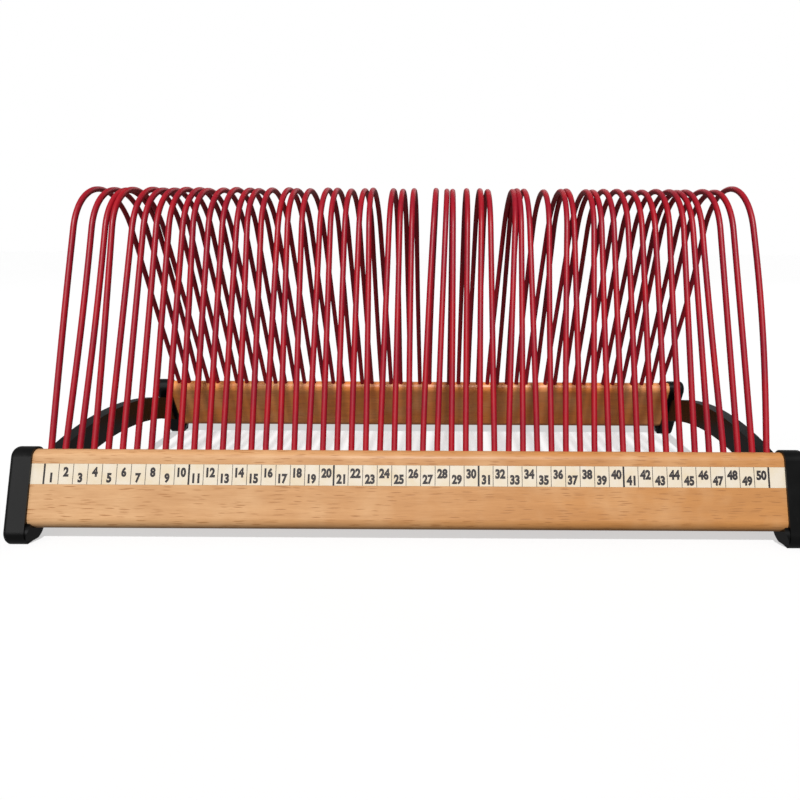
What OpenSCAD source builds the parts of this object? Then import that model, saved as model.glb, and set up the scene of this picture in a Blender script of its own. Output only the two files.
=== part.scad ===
// Tabletop record rack: two tilted beech rails in black end frames, with coated wire arches
// that stand across them and make numbered slots for long-playing records.
// Origin: centre of the footprint on the table. X runs along the row, Y to the rear, Z up.

/* [Row of slots] */
// Number of record slots
slots = 50; // [10:1:50]
// Distance from one wire to the next
slot_pitch = 9; // [8:0.5:12]

/* [Wire arches] */
// Diameter of the coated wire
wire_d = 3.8; // [2.5:0.1:4]
// Distance between an arch's two feet at the rail crests
leg_spread = 203; // [190:1:215]
// Inward lean of the legs and the rails, in degrees
lean = 24; // [20:0.5:26]
// Radius of the top bend, to the middle of the wire
arch_r = 45.5; // [38:0.5:52]
// Length of wire held in its hole
wire_grip = 22; // [15:1:30]
// Hole diameter over the wire's diameter
hole_play = 0.1; // [0.05:0.05:0.3]
// How much thicker the coating is around the bend
bend_swell = 0.02; // [0.02:0.01:0.1]

/* [Rails] */
// Height of the rail crests above the table
crest_h = 53; // [51:1:60]
// Thickness of a rail
rail_t = 12; // [10:0.5:14]
// Height of a rail along its tilted face
rail_h = 49; // [40:1:49]
// Length of rail beyond the first and the last wire
rail_overhang = 17.5; // [12:0.5:20]

/* [Number strip] */
// Height of the strip
strip_h = 12.7; // [8:0.1:16]
// Distance from the rail's crest to the strip's top edge
strip_drop = 9.8; // [7:0.1:12]
// Thickness of the strip and depth of its groove
strip_t = 0.6; // [0.4:0.1:1]

/* [End frames] */
// Wall of the socket around the rail
socket_wall = 1.6; // [1.2:0.1:3]
// Width of the socket along the row
socket_w = 14; // [12:0.5:18]
// Clearance around a rail in its socket
socket_play = 0.1; // [0.05:0.05:0.3]
// Radius of the socket's outer edges
socket_round = 3.5; // [2:0.1:3.5]
// How far the foot reaches inward under the rail
ledge_reach = 3.2; // [2:0.2:8]
// How far the ledge stands back from the socket's face
ledge_inset = 0.5; // [0.2:0.1:2]
// Thickness of the arm that joins the sockets
arm_t = 9; // [6:0.5:12]
// Height of the arm's band
arm_h = 19.4; // [14:0.2:24]
// Radius of the arm's underside
arm_r = 330; // [280:5:400]
// Height of the arm's top edge over the rail crests
arm_rise = -0.6; // [-3:0.1:3]
// How far the arm's outer face stands back from the socket's end
arm_inset = 2.5; // [0:0.5:4]

/* [Hidden] */
$fn = 96;
wires = slots + 1;
row_half = slots * slot_pitch / 2;
rail_half = row_half + rail_overhang;
end_wall = socket_w - 10;
frame_half = rail_half + end_wall;
socket_r = rail_t / 2 + socket_wall;
foot_v = -(crest_h - 0.75 * socket_r) / cos(lean);
arch_z = (leg_spread / 2 * cos(lean) - arch_r) / sin(lean);
leg_overlap = 0.4;
leg_len = (arch_z + arch_r * sin(lean)) / cos(lean);
arm_centre_z = crest_h + arm_rise - arm_h - arm_r;
arm_half_span = leg_spread / 2 + 10;
arm_inner = frame_half - arm_inset - arm_t;
big = 700;

function two_digits(n) = str(n < 10 ? "0" : "", n);
function wire_name(n) = str("wire_", two_digits(n));

// The front rail's own frame: X along the rail, Z up its tilted face, Y inward, zero on its crest.
module on_front_rail() {
    translate([0, -leg_spread / 2, crest_h])
        rotate([-lean, 0, 0])
            children();
}

// Half of a round bar along +X, its flat side down on Z = 0.
module half_bar(r, length) {
    rotate([90, 0, 90])
        rotate_extrude(angle = 180)
            square([r, length]);
}

// A flat board along X with both long edges fully round, its crest on Z = 0.
module round_edged_board(thickness, height, half_length) {
    r = thickness / 2;
    translate([-half_length, -r, r - height])
        cube([2 * half_length, thickness, height - thickness]);
    translate([-half_length, 0, -r])
        half_bar(r, 2 * half_length);
    translate([-half_length, 0, r - height])
        mirror([0, 0, 1])
            half_bar(r, 2 * half_length);
}

// One arch in the plane X = 0: two leaning legs and the round bend that joins them.
module wire_arch(d) {
    translate([0, 0, crest_h + arch_z])
        rotate([90, 0, 90])
            rotate([0, 0, lean])
                rotate_extrude(angle = 180 - 2 * lean)
                    translate([arch_r, 0])
                        circle(d = d + bend_swell);
    wire_legs(d, leg_len + leg_overlap, wire_grip);
}

// The two straight legs, from a depth below the crests up to a length above them.
module wire_legs(d, above, below) {
    for (side = [0, 1])
        mirror([0, side, 0])
            on_front_rail()
                translate([0, 0, -below])
                    cylinder(d = d, h = above + below);
}

// The board that both rails are cut from, with one hole for each wire.
module drilled_rail() {
    difference() {
        on_front_rail() round_edged_board(rail_t, rail_h, rail_half);
        for (n = [0:slots])
            translate([n * slot_pitch - row_half, 0, 0])
                on_front_rail()
                    translate([0, 0, -wire_grip])
                        cylinder(d = wire_d + hole_play, h = wire_grip + rail_t);
    }
}

// The flat band that carries the numbers, as long as the rail.
module strip_blank(height, depth) {
    on_front_rail()
        translate([-rail_half, -rail_t / 2, -strip_drop - (strip_h + height) / 2])
            cube([2 * rail_half, depth, height]);
}

module front_rail() {
    color("burlywood")
        difference() {
            drilled_rail();
            strip_blank(strip_h + 0.1, strip_t + 0.05);
        }
}

module rear_rail() {
    color("burlywood")
        mirror([0, 1, 0])
            drilled_rail();
}

module number_strip() {
    color("cornsilk") strip_blank(strip_h, strip_t);
}

module wire(n) {
    color("crimson")
        translate([(n - 1) * slot_pitch - row_half, 0, 0])
            wire_arch(wire_d);
}

// Section of the socket's shell: square at the rail's side, rounded at the outer end.
module socket_profile() {
    square([socket_r, socket_w - socket_round]);
    square([socket_r - socket_round, socket_w]);
    translate([socket_r - socket_round, socket_w - socket_round])
        circle(socket_round);
}

// Round end of the socket, a half turn of its section.
module socket_end() {
    rotate([90, 0, 90])
        rotate_extrude(angle = 180)
            socket_profile();
}

// The tilted block that takes one end of the front rail and stands on the table.
module socket_block() {
    on_front_rail()
        translate([frame_half - socket_w, 0, 0]) {
            translate([0, 0, -rail_t / 2]) socket_end();
            translate([0, 0, foot_v])
                mirror([0, 0, 1])
                    socket_end();
            translate([0, 0, foot_v])
                rotate([0, 0, -90])
                    linear_extrude(-foot_v - rail_t / 2) {
                        socket_profile();
                        mirror([1, 0]) socket_profile();
                    }
        }
}

// The wedge that runs from the foot inward under the rail.
module foot_ledge() {
    inner_x = frame_half - socket_w;
    root = 2;
    slope = 2.5;
    wedge = [
        [inner_x + root, socket_r - rail_h],
        [inner_x - ledge_reach, -rail_h],
        [inner_x + root, -rail_h - slope * (ledge_reach + root)]
    ];
    on_front_rail()
        intersection() {
            translate([inner_x - ledge_reach, 0, foot_v])
                rotate([0, 90, 0])
                    cylinder(r = socket_r - ledge_inset, h = ledge_reach + root);
            rotate([90, 0, 0])
                linear_extrude(4 * socket_r, center = true)
                    polygon(wedge);
        }
}

// Room for the rail's end, open toward the row.
module socket_room() {
    on_front_rail()
        translate([0, 0, socket_play])
            round_edged_board(rail_t + 2 * socket_play, rail_h + 2 * socket_play, rail_half);
}

// The shallow arched arm from the front socket to the rear one.
module arm() {
    intersection() {
        translate([arm_inner, 0, arm_centre_z])
            rotate([0, 90, 0])
                difference() {
                    cylinder(r = arm_r + arm_h, h = arm_t, $fn = 360);
                    translate([0, 0, -1])
                        cylinder(r = arm_r, h = arm_t + 2, $fn = 360);
                }
        translate([arm_inner - 1, -arm_half_span, 0])
            cube([arm_t + 2, 2 * arm_half_span, big]);
    }
}

module end_frame() {
    color("#1d2120")
        difference() {
            union() {
                for (side = [0, 1])
                    mirror([0, side, 0]) {
                        socket_block();
                        foot_ledge();
                    }
                arm();
            }
            for (side = [0, 1])
                mirror([0, side, 0])
                    socket_room();
            translate([-big / 2, -big / 2, -big])
                cube(big);
        }
}

module right_end_frame() {
    end_frame();
}

module left_end_frame() {
    mirror([1, 0, 0]) end_frame();
}

left_end_frame();
right_end_frame();
front_rail();
rear_rail();
number_strip();
for (n = [1:wires])
    wire(n);
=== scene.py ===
"""A tabletop record rack: beech rails, red coated wire arches, black end frames, numbered strip.

Row frame, in metres: X along the row, Y from the front rail to the rear rail, Z up from the table.
"""

import math

import bmesh
import bpy
from mathutils import Matrix, Vector


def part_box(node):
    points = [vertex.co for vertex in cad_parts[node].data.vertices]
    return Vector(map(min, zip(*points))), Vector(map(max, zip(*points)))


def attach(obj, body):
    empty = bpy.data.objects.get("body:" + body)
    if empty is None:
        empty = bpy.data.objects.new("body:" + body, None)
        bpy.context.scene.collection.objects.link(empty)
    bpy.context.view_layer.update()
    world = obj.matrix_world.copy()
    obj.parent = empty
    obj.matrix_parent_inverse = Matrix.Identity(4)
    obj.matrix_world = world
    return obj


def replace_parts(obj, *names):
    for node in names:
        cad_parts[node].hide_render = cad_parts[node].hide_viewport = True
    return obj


MM = 0.001
WHITE = (1, 1, 1, 1)

# The rack's design, as in its CAD source.
WIRES = 51
SLOTS = WIRES - 1
PITCH = 9 * MM
LEAN = math.radians(24)
LEG_SPREAD = 203 * MM
ARCH_R = 45.5 * MM
GRIP = 22 * MM
CREST_H = 53 * MM
RAIL_T = 12 * MM
STRIP_H = 12.7 * MM
STRIP_DROP = 9.8 * MM

# How far a wire's top stands to the side of its feet, in slots, where use has bent it.
# The wires that aren't named here drift a little, as top_shift() says.
BENT_SIDEWAYS = {
    1: 0.0, 2: 0.3, 3: 0.3, 4: -0.25, 5: 0.35, 6: 0.15, 10: -0.3, 14: -0.3, 15: -0.25,
    17: -0.3, 18: -0.25, 19: 0.15, 23: -0.3, 24: 0.3, 27: 0.65, 28: 0.5, 32: -0.3,
    33: 0.65, 35: -0.45, 36: 0.1, 37: 0.45, 39: 0.55, 47: -0.3, 48: -0.65, 49: -0.3, 50: -0.35,
}
# How far a wire's legs bow to the side at their middle, in slots.
BOWED_SIDEWAYS = {1: -0.05, 2: 0.15, 3: 0.15, 5: 0.07, 7: 0.07, 48: -0.13, 51: 0.35}
# How far the tops of the wires up to this one have settled toward the higher numbers, in slots.
LAST_SETTLED = 37
SETTLED_BY = 0.12
# The last wire has been pulled up a little.
TALL_WIRE = 51
TALL_BY = 2.2 * MM
LEG_POINTS = 26
HALF_BEND_POINTS = 22
WIRE_SIDES = 14


# ---------------------------------------------------------------- node helpers


class Nodes:
    """A short way to write one material's node tree."""

    def __init__(self, name):
        self.mat = bpy.data.materials.new(name)
        self.mat.use_nodes = True
        self.tree = self.mat.node_tree
        self.shader = self.tree.nodes["Principled BSDF"]

    def add(self, kind, inputs=None, **settings):
        node = self.tree.nodes.new(kind)
        for key, value in settings.items():
            setattr(node, key, value)
        for key, value in (inputs or {}).items():
            self.put(node.inputs[key], value)
        return node

    def put(self, socket, value):
        if isinstance(value, bpy.types.NodeSocket):
            self.tree.links.new(value, socket)
        else:
            socket.default_value = value

    def set(self, **values):
        for key, value in values.items():
            self.put(self.shader.inputs[key.replace("_", " ")], value)

    def place(self):
        """The point's place in the rack, in metres."""
        return self.add("ShaderNodeTexCoord").outputs["Object"]

    def coords(self, scale):
        """The point's place, stretched along each axis."""
        mapping = self.add("ShaderNodeMapping", {"Vector": self.place(), "Scale": scale})
        return mapping.outputs["Vector"]

    def noise(self, vector, scale, detail=4.0, roughness=0.5, distortion=0.0):
        inputs = {
            "Vector": vector, "Scale": scale, "Detail": detail,
            "Roughness": roughness, "Distortion": distortion,
        }
        return self.add("ShaderNodeTexNoise", inputs).outputs["Fac"]

    def flecks(self, scale, size):
        """Scattered spots, stretched by the scale, each with its own strength."""
        wander = self.noise(self.coords((40, 40, 40)), 1, 2)
        moved = self.add("ShaderNodeVectorMath", {0: self.coords(scale), 1: wander}, operation="ADD")
        spots = self.add("ShaderNodeTexVoronoi", {"Vector": moved.outputs["Vector"], "Scale": 1.0})
        split = self.add("ShaderNodeSeparateColor", {"Color": spots.outputs["Color"]})
        chance = split.outputs["Red"]
        spot = self.span(spots.outputs["Distance"], size, size * 0.55)
        return self.math("MULTIPLY", spot, self.span(chance, 0.1, 0.7))

    def span(self, value, low, high, to_low=0.0, to_high=1.0):
        """The value's place between low and high, carried over to the second range and clamped."""
        inputs = {
            "Value": value, "From Min": low, "From Max": high, "To Min": to_low, "To Max": to_high,
        }
        return self.add("ShaderNodeMapRange", inputs).outputs["Result"]

    def math(self, operation, a, b):
        node = self.add("ShaderNodeMath", operation=operation)
        self.put(node.inputs[0], a)
        self.put(node.inputs[1], b)
        return node.outputs[0]

    def mix(self, factor, a, b):
        node = self.add("ShaderNodeMix", data_type="RGBA")
        self.put(node.inputs["Factor"], factor)
        self.put(node.inputs["A"], a)
        self.put(node.inputs["B"], b)
        return node.outputs["Result"]

    def bump(self, height, strength, distance):
        inputs = {"Height": height, "Strength": strength, "Distance": distance}
        return self.add("ShaderNodeBump", inputs).outputs["Normal"]


def rgb(red, green, blue):
    """A colour given as 0-255 display values, as the shader's linear colour."""
    return (*(linear(c) for c in (red, green, blue)), 1.0)


def linear(value):
    """One 0-255 display value on the shader's linear scale."""
    return ((value / 255 + 0.055) / 1.055) ** 2.4 if value > 10 else value / 3295


# ---------------------------------------------------------------- materials


def beech(name, left, right, fleck, depth, roughness):
    """Lacquered beech: it deepens along the row, its paler left end being painted sheen, and has
    soft streaks and short dark flecks.
    """
    n = Nodes(name)
    along = n.add("ShaderNodeSeparateXYZ", {"Vector": n.place()}).outputs["X"]
    # Painted sheen: the colour is paler at the left end and deeper towards the right.
    base = n.mix(n.span(along, -0.24, 0.12), left, right)
    streaks = n.noise(n.coords((5, 55, 55)), 3, 5, 0.62, 0.8)
    base = n.mix(n.span(streaks, 0.32, 0.7, 0, 0.42), base, fleck)
    # Painted sheen: random pale patches mixed into the wood colour.
    painted_sheen_patches = n.noise(n.coords((22, 22, 22)), 1.6, 3)
    base = n.mix(n.span(painted_sheen_patches, 0.45, 0.75, 0, 0.28), base, rgb(246, 205, 156))
    pores = n.noise(n.coords((90, 1300, 1300)), 1.1, 3, 0.6)
    base = n.mix(n.span(pores, 0.5, 0.75, 0, 0.22), base, fleck)
    flecks = n.flecks((85, 900, 900), 0.36)
    base = n.mix(n.math("MULTIPLY", flecks, depth), base, fleck)
    height = n.math("SUBTRACT", n.span(pores, 0.3, 0.8), flecks)
    n.set(
        Base_Color=base,
        Roughness=n.span(streaks, 0.3, 0.7, roughness, roughness + 0.1),
        Normal=n.bump(height, 0.3, 0.08 * MM),
        Coat_Weight=0.1,
        Coat_Roughness=0.3,
    )
    return n.mat


def red_coating():
    """Dipped plastic over steel wire: deep red, satin, a little uneven, dusty in places."""
    n = Nodes("red_coating")
    place = n.coords((1, 1, 1))
    cloud = n.noise(place, 38, 3)
    dust = n.noise(place, 420, 4, 0.65)
    base = n.mix(n.span(cloud, 0.35, 0.65), rgb(175, 6, 27), rgb(155, 8, 35))
    base = n.mix(n.span(dust, 0.56, 0.8, 0, 0.25), base, rgb(196, 62, 78))
    ripple = n.noise(n.coords((140, 140, 60)), 1, 2)
    n.set(
        Base_Color=base,
        Roughness=n.span(dust, 0.35, 0.7, 0.4, 0.52),
        Normal=n.bump(ripple, 0.35, 0.12 * MM),
        Specular_IOR_Level=0.36,
        Coat_Weight=0.1,
        Coat_Roughness=0.3,
    )
    return n.mat


def black_plastic():
    """Black moulded plastic with a fine grain, hazy in patches and greyed by a few scuffs."""
    n = Nodes("black_plastic")
    place = n.coords((1, 1, 1))
    grain = n.noise(place, 1500, 3, 0.6)
    haze = n.noise(place, 40, 4, 0.6)
    scuffs = n.noise(n.coords((300, 60, 60)), 1.5, 3, 0.7)
    base = n.mix(n.span(haze, 0.35, 0.7), rgb(4, 4, 4), rgb(8, 8, 8))
    base = n.mix(n.span(scuffs, 0.68, 0.8, 0, 0.3), base, rgb(58, 60, 58))
    n.set(
        Base_Color=base,
        Roughness=n.span(haze, 0.3, 0.7, 0.26, 0.36),
        Specular_IOR_Level=0.36,
        Normal=n.bump(grain, 0.2, 0.04 * MM),
    )
    return n.mat


def strip_card():
    """The cream strip: coated card, slightly mottled and yellowed in patches."""
    n = Nodes("strip_card")
    place = n.coords((1, 1, 1))
    mottle = n.noise(place, 90, 4, 0.6)
    fibre = n.noise(n.coords((500, 1400, 1400)), 1, 3)
    base = n.mix(n.span(mottle, 0.35, 0.7), rgb(234, 222, 203), rgb(229, 211, 180))
    base = n.mix(n.span(fibre, 0.55, 0.8, 0, 0.18), base, rgb(205, 184, 150))
    n.set(
        Base_Color=base,
        Roughness=n.span(mottle, 0.3, 0.7, 0.42, 0.55),
        Normal=n.bump(fibre, 0.15, 0.04 * MM),
    )
    return n.mat


def ink(name, colour, faded):
    """Printed ink, thinner in small spots."""
    n = Nodes(name)
    spots = n.noise(n.coords((1, 1, 1)), 900, 3, 0.6)
    n.set(Base_Color=n.mix(n.span(spots, 0.5, 0.8, 0, 0.6), colour, faded), Roughness=0.5)
    return n.mat


def floor_paper():
    """The pale sweep that the rack stands on."""
    n = Nodes("floor_paper")
    tone = n.noise(n.coords((1, 1, 1)), 6, 3)
    n.set(
        Base_Color=n.mix(tone, (0.43, 0.43, 0.43, 1), (0.46, 0.46, 0.46, 1)),
        Roughness=0.9,
        Specular_IOR_Level=0.0,
        Emission_Color=WHITE,
        Emission_Strength=0.56,
    )
    return n.mat


# ---------------------------------------------------------------- geometry helpers


def finish_mesh(name, bm, material, smooth=True):
    """Turns a bmesh into a piece of the rack that rides on its one body."""
    bmesh.ops.recalc_face_normals(bm, faces=bm.faces)
    mesh = bpy.data.meshes.new(name)
    bm.to_mesh(mesh)
    bm.free()
    mesh.materials.append(material)
    for face in mesh.polygons:
        face.use_smooth = smooth
    piece = bpy.data.objects.new(name, mesh)
    bpy.context.scene.collection.objects.link(piece)
    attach(piece, "root")
    return piece


def front_rail_frame():
    """The front rail's frame: X along it, Z up its tilted face, Y inward, zero on its crest."""
    return Matrix.Translation((0, -LEG_SPREAD / 2, CREST_H)) @ Matrix.Rotation(-LEAN, 4, "X")


# ---------------------------------------------------------------- wires


def arch_line():
    """The middle line of a straight wire as (y, z) points, from the front hole to the rear hole."""
    centre_z = CREST_H + (LEG_SPREAD / 2 * math.cos(LEAN) - ARCH_R) / math.sin(LEAN)
    tangent = Vector((-ARCH_R * math.cos(LEAN), centre_z + ARCH_R * math.sin(LEAN)))
    foot = Vector((-LEG_SPREAD / 2 - GRIP * math.sin(LEAN), CREST_H - GRIP * math.cos(LEAN)))
    leg = [foot.lerp(tangent, i / LEG_POINTS) for i in range(LEG_POINTS)]
    half_bend = []
    for i in range(HALF_BEND_POINTS + 1):
        angle = math.pi - LEAN - (math.pi / 2 - LEAN) * i / HALF_BEND_POINTS
        half_bend.append(Vector((ARCH_R * math.cos(angle), centre_z + ARCH_R * math.sin(angle))))
    front = leg + half_bend
    return front + [Vector((-p.x, p.y)) for p in reversed(front[:-1])]


def top_shift(number):
    """How far the wire's top stands to the side, in slots."""
    drift = 0.05 * math.sin(2.1 * number) + 0.05 * math.sin(0.83 * number + 1)
    settled = SETTLED_BY if number <= LAST_SETTLED else 0.0
    return BENT_SIDEWAYS.get(number, drift) + settled


def wire_path(number, line):
    """The wire's bent middle line in space."""
    x = (number - 1 - SLOTS / 2) * PITCH
    top = max(p.y for p in line)
    reach = top_shift(number) * PITCH
    lift = TALL_BY if number == TALL_WIRE else 0.35 * MM * math.sin(1.7 * number)
    splay = 0.6 * MM * math.sin(2.9 * number + 0.4)
    bow = BOWED_SIDEWAYS.get(number, 0.03 * math.sin(1.3 * number + 2)) * PITCH
    points = []
    for p in line:
        h = max(0.0, (p.y - CREST_H) / (top - CREST_H))
        side = reach * h**1.25 + bow * math.sin(math.pi * h)
        y = p.x + splay * math.sin(math.pi * h) * (1 if p.x > 0 else -1)
        points.append(Vector((x + side, y, p.y + lift * h)))
    return points


def tube(bm, points, radius):
    """A closed round tube along the points."""
    rings = []
    across = Vector((1, 0, 0))
    turn = [2 * math.pi * k / WIRE_SIDES for k in range(WIRE_SIDES)]
    for i, p in enumerate(points):
        ahead = points[min(i + 1, len(points) - 1)] - points[max(i - 1, 0)]
        ahead.normalize()
        u = (across - ahead * across.dot(ahead)).normalized()
        v = ahead.cross(u)
        rings.append([bm.verts.new(p + radius * (math.cos(t) * u + math.sin(t) * v)) for t in turn])
    for a, b in zip(rings, rings[1:]):
        for k in range(WIRE_SIDES):
            after = (k + 1) % WIRE_SIDES
            bm.faces.new((a[k], a[after], b[after], b[k]))
    bm.faces.new(rings[0])
    bm.faces.new(rings[-1])


def make_wires(material):
    """The bent wires, each in place of its straight CAD node and as thick as the first one."""
    low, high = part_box("wire_01")
    radius = (high.x - low.x) / 2
    line = arch_line()
    for number in range(1, WIRES + 1):
        bm = bmesh.new()
        tube(bm, wire_path(number, line), radius)
        node = f"wire_{number:02d}"
        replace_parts(finish_mesh(f"coated_{node}", bm, material), node)


# ---------------------------------------------------------------- number strip


# The ink stands proud of the strip by this much.
INK_PROUD = 0.03 * MM
# The print is a little shorter than the row of wires, and not quite in its middle.
PRINT_SHIFT = -1.0 * MM
CELL = 0.9928 * PITCH
THIN_LINE = 0.42 * MM
THICK_LINE = 1.15 * MM
LINE_H = STRIP_H - 0.1 * MM
# Figures are narrower than the font's own, low in the odd cells and high in the even ones.
FIGURE_H = 6.1 * MM
FIGURE_SQUEEZE = 0.82
FIGURE_MIDDLE = -0.45 * MM
FIGURE_STEP = 1.8 * MM
FIGURE_BOLDNESS = 0.056


def strip_place():
    """The strip's printed face: X along the row, Y up the strip, Z out of it, zero at its middle."""
    face = Matrix.Translation((PRINT_SHIFT, -RAIL_T / 2, -STRIP_DROP - STRIP_H / 2))
    return front_rail_frame() @ face @ Matrix.Rotation(math.pi / 2, 4, "X")


def cell_line_x(index):
    """Where the line after that many cells stands; a half gives the middle of a cell."""
    return (index - SLOTS / 2) * CELL


def make_cell_lines(thin_ink, thick_ink):
    """The printed lines between the cells, a thick one at every tenth."""
    place = strip_place()
    thin = bmesh.new()
    thick = bmesh.new()
    for index in range(SLOTS + 1):
        bm, width = (thin, THIN_LINE) if index % 10 else (thick, THICK_LINE)
        size = Matrix.Diagonal((width, LINE_H, 2 * INK_PROUD, 1))
        middle = Matrix.Translation((cell_line_x(index), 0, 0))
        bmesh.ops.create_cube(bm, size=1, matrix=place @ middle @ size)
    finish_mesh("printed_cell_lines", thin, thin_ink, smooth=False)
    finish_mesh("printed_tens_lines", thick, thick_ink, smooth=False)


def figure_mesh(number):
    """A number as flat bold figures, in the text's own units, centred on zero."""
    text = bpy.data.curves.new(f"figure_{number}", "FONT")
    text.body = str(number)
    text.align_x = "CENTER"
    text.offset = FIGURE_BOLDNESS
    text.extrude = 0.5
    text.resolution_u = 3
    holder = bpy.data.objects.new(text.name, text)
    bpy.context.scene.collection.objects.link(holder)
    ready = holder.evaluated_get(bpy.context.evaluated_depsgraph_get())
    mesh = bpy.data.meshes.new_from_object(ready)
    bpy.data.objects.remove(holder)
    return mesh


def make_numbers(material):
    """The numbers 1 to 50, one in each cell."""
    bm = bmesh.new()
    for number in range(1, SLOTS + 1):
        mesh = figure_mesh(number)
        xs = [v.co.x for v in mesh.vertices]
        ys = [v.co.y for v in mesh.vertices]
        scale = FIGURE_H / (max(ys) - min(ys))
        shape = Matrix.Diagonal((FIGURE_SQUEEZE * scale, scale, 2 * INK_PROUD, 1))
        centre = Matrix.Translation((-(max(xs) + min(xs)) / 2, -(max(ys) + min(ys)) / 2, 0))
        rise = FIGURE_MIDDLE + (FIGURE_STEP if number % 2 == 0 else -FIGURE_STEP)
        cell = Matrix.Translation((cell_line_x(number - 0.5), rise, 0))
        mesh.transform(strip_place() @ cell @ shape @ centre)
        bm.from_mesh(mesh)
        bpy.data.meshes.remove(mesh)
    finish_mesh("printed_numbers", bm, material, smooth=False)


# ---------------------------------------------------------------- CAD nodes


SHARP_FROM = math.radians(28)


def paint(frame, node, material):
    """Gives a CAD node its finished material and smooth shading on its curved faces."""
    mesh = frame["nodes"][node].data
    mesh.materials.clear()
    mesh.materials.append(material)
    mesh.shade_smooth()
    mesh.set_sharp_from_angle(angle=SHARP_FROM)


# ---------------------------------------------------------------- stage


FLOOR_HALF = 12
AMBIENT = 0.17
LIGHT_TARGET = (0, 0, 0.1)
KEY_DIRECTION = (0, 0.6, -0.8)
KEY_STRENGTH = 3.1
KEY_ANGLE = math.radians(2.0)
# Place, size and power of each area light.
SIDE_LIGHT = ((-1.5, -1.7, 0.8), (1.3, 1.0), 4.6)
BACK_LIGHT = ((0.4, 2.4, 1.5), (1.6, 1.0), 5)


def make_floor():
    """The floor, which shows in the picture but casts no light back on the rack."""
    bm = bmesh.new()
    bmesh.ops.create_grid(bm, x_segments=1, y_segments=1, size=FLOOR_HALF)
    mesh = bpy.data.meshes.new("floor")
    bm.to_mesh(mesh)
    bm.free()
    mesh.materials.append(floor_paper())
    floor = bpy.data.objects.new("floor", mesh)
    bpy.context.scene.collection.objects.link(floor)
    floor.visible_diffuse = False
    floor.visible_glossy = False


def hang(light, place, direction):
    """Puts a light at the place, shining in the direction."""
    lamp = bpy.data.objects.new(light.name, light)
    bpy.context.scene.collection.objects.link(lamp)
    lamp.location = place
    lamp.rotation_euler = Vector(direction).to_track_quat("-Z", "Y").to_euler()


def area_light(name, place, size, power):
    """A rectangular light aimed at the middle of the rack."""
    light = bpy.data.lights.new(name, "AREA")
    light.shape = "RECTANGLE"
    light.size, light.size_y = size
    light.energy = power
    hang(light, place, Vector(LIGHT_TARGET) - Vector(place))


def make_world():
    """A white backdrop behind the rack, which lights it only faintly."""
    world = bpy.data.worlds.new("studio")
    world.use_nodes = True
    tree = world.node_tree
    shown = tree.nodes["Background"]
    shown.inputs["Color"].default_value = WHITE
    ambient = tree.nodes.new("ShaderNodeBackground")
    ambient.inputs["Color"].default_value = WHITE
    ambient.inputs["Strength"].default_value = AMBIENT
    path = tree.nodes.new("ShaderNodeLightPath")
    mix = tree.nodes.new("ShaderNodeMixShader")
    tree.links.new(path.outputs["Is Camera Ray"], mix.inputs[0])
    tree.links.new(ambient.outputs[0], mix.inputs[1])
    tree.links.new(shown.outputs[0], mix.inputs[2])
    tree.links.new(mix.outputs[0], tree.nodes["World Output"].inputs["Surface"])
    bpy.context.scene.world = world


def make_lights():
    """A key light high in front, a broad weak one at the front left, and one behind."""
    key = bpy.data.lights.new("key", "SUN")
    key.energy = KEY_STRENGTH
    key.angle = KEY_ANGLE
    hang(key, (0, 0, 0), KEY_DIRECTION)
    area_light("side", *SIDE_LIGHT)
    area_light("back", *BACK_LIGHT)


CAMERA_PLACE = (0.0212, -0.4841, 0.1785)
CAMERA_PITCH = math.radians(15.59)
CAMERA_YAW = math.radians(-0.106)
CAMERA_ROLL = math.radians(0.26)
CAMERA_LENS = 28.76
CAMERA_SHIFT = (-0.0516, 0.0276)


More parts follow.
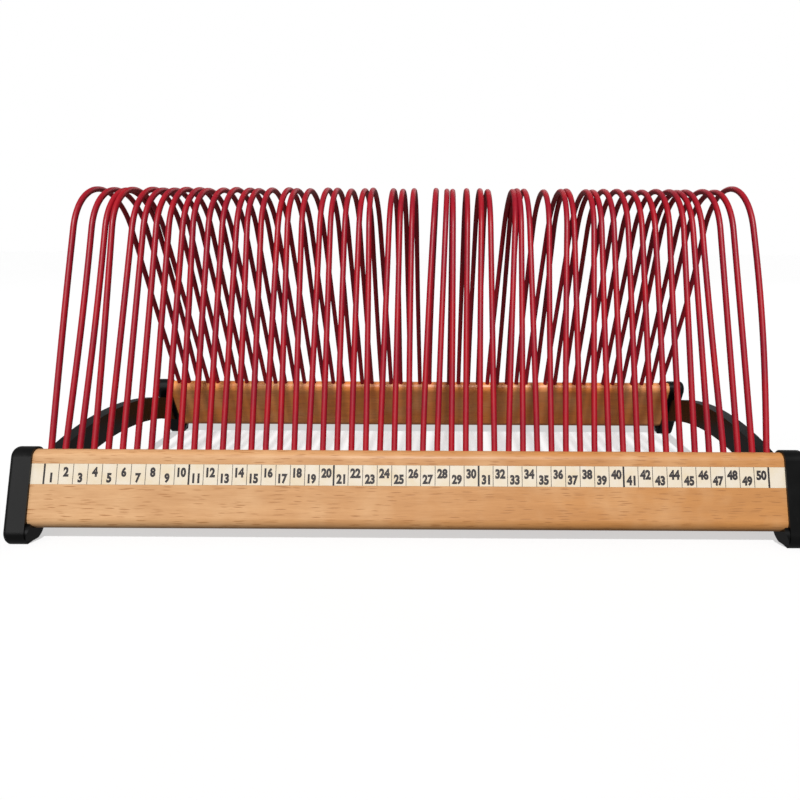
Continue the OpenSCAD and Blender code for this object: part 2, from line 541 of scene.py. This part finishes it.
def make_camera():
    """The camera that looks at the rack as the photograph does."""
    data = bpy.data.cameras.new("camera")
    data.sensor_width = 36
    data.lens = CAMERA_LENS
    data.shift_x, data.shift_y = CAMERA_SHIFT
    data.clip_start = 0.01
    camera = bpy.data.objects.new("camera", data)
    bpy.context.scene.collection.objects.link(camera)
    ahead = Vector((
        math.sin(CAMERA_YAW) * math.cos(CAMERA_PITCH),
        math.cos(CAMERA_YAW) * math.cos(CAMERA_PITCH),
        -math.sin(CAMERA_PITCH),
    ))
    level = Vector((math.cos(CAMERA_YAW), -math.sin(CAMERA_YAW), 0))
    right = Matrix.Rotation(-CAMERA_ROLL, 3, ahead) @ level
    up = right.cross(ahead)
    turn = Matrix((right, up, -ahead)).transposed().to_4x4()
    camera.matrix_world = Matrix.Translation(CAMERA_PLACE) @ turn
    bpy.context.scene.camera = camera


# ---------------------------------------------------------------- build


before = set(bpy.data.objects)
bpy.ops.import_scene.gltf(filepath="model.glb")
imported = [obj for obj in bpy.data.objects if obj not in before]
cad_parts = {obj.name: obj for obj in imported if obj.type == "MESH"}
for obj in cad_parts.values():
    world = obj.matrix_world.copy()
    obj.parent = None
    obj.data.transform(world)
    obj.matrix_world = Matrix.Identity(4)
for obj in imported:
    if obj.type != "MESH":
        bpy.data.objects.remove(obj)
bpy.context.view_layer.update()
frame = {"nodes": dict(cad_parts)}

make_camera()
make_world()
make_lights()
make_floor()

front_beech = beech(
    "front_beech",
    left=rgb(224, 176, 126),
    right=rgb(206, 142, 78),
    fleck=rgb(168, 110, 58),
    depth=0.8,
    roughness=0.5,
)
# Painted shade: the rear rail is the same beech as the front, coloured deeper and more orange to
# stand in for the shade on its face.
rear_beech_shade_tinted = beech(
    "rear_beech_shade_tinted",
    left=rgb(240, 146, 70),
    right=rgb(236, 138, 64),
    fleck=rgb(184, 92, 40),
    depth=0.45,
    roughness=0.38,
)
paint(frame, "front_rail", front_beech)
paint(frame, "rear_rail", rear_beech_shade_tinted)
paint(frame, "number_strip", strip_card())
plastic = black_plastic()
paint(frame, "left_end_frame", plastic)
paint(frame, "right_end_frame", plastic)
make_wires(red_coating())
thin_ink = ink("thin_ink", rgb(96, 86, 78), rgb(150, 138, 124))
thick_ink = ink("thick_ink", rgb(40, 34, 34), rgb(70, 62, 60))
make_cell_lines(thin_ink, thick_ink)
make_numbers(ink("number_ink", rgb(42, 36, 38), rgb(86, 78, 76)))
bpy.context.scene.view_settings.view_transform = "Standard"
